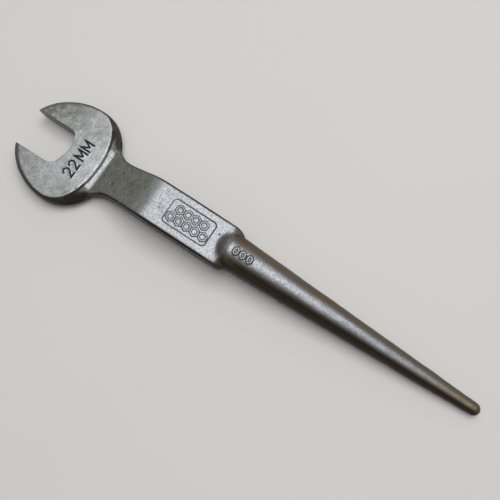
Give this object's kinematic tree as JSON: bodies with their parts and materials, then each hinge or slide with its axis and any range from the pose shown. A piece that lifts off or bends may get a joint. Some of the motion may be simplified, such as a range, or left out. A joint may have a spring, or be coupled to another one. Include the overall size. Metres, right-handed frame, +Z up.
{
  "type": "podger spanner",
  "caption": "Forged open-ended spanner with a cranked flat shank and a round tapered tail for lining up bolt holes.",
  "frame": {"origin": "On the surface that the tool lies on, under the middle of its bounding box. The tool rests on the rear edge of its head's lower face and on the tip of its tail.", "axes": "+X runs from the jaw to the tail, +Z is up, away from the table, on the side that the shank is cranked towards, and +Y points across the tool, square to the jaw's flats."},
  "size_m": [0.2824, 0.0588, 0.0224],
  "materials": {
    "forged_steel": "satin grey forged and heat-treated surface, linished head faces, dark film on the rims and the tail"
  },
  "bodies": {
    "root": {"podger_spanner_forging": "forged_steel"}
  },
  "joints": []
}
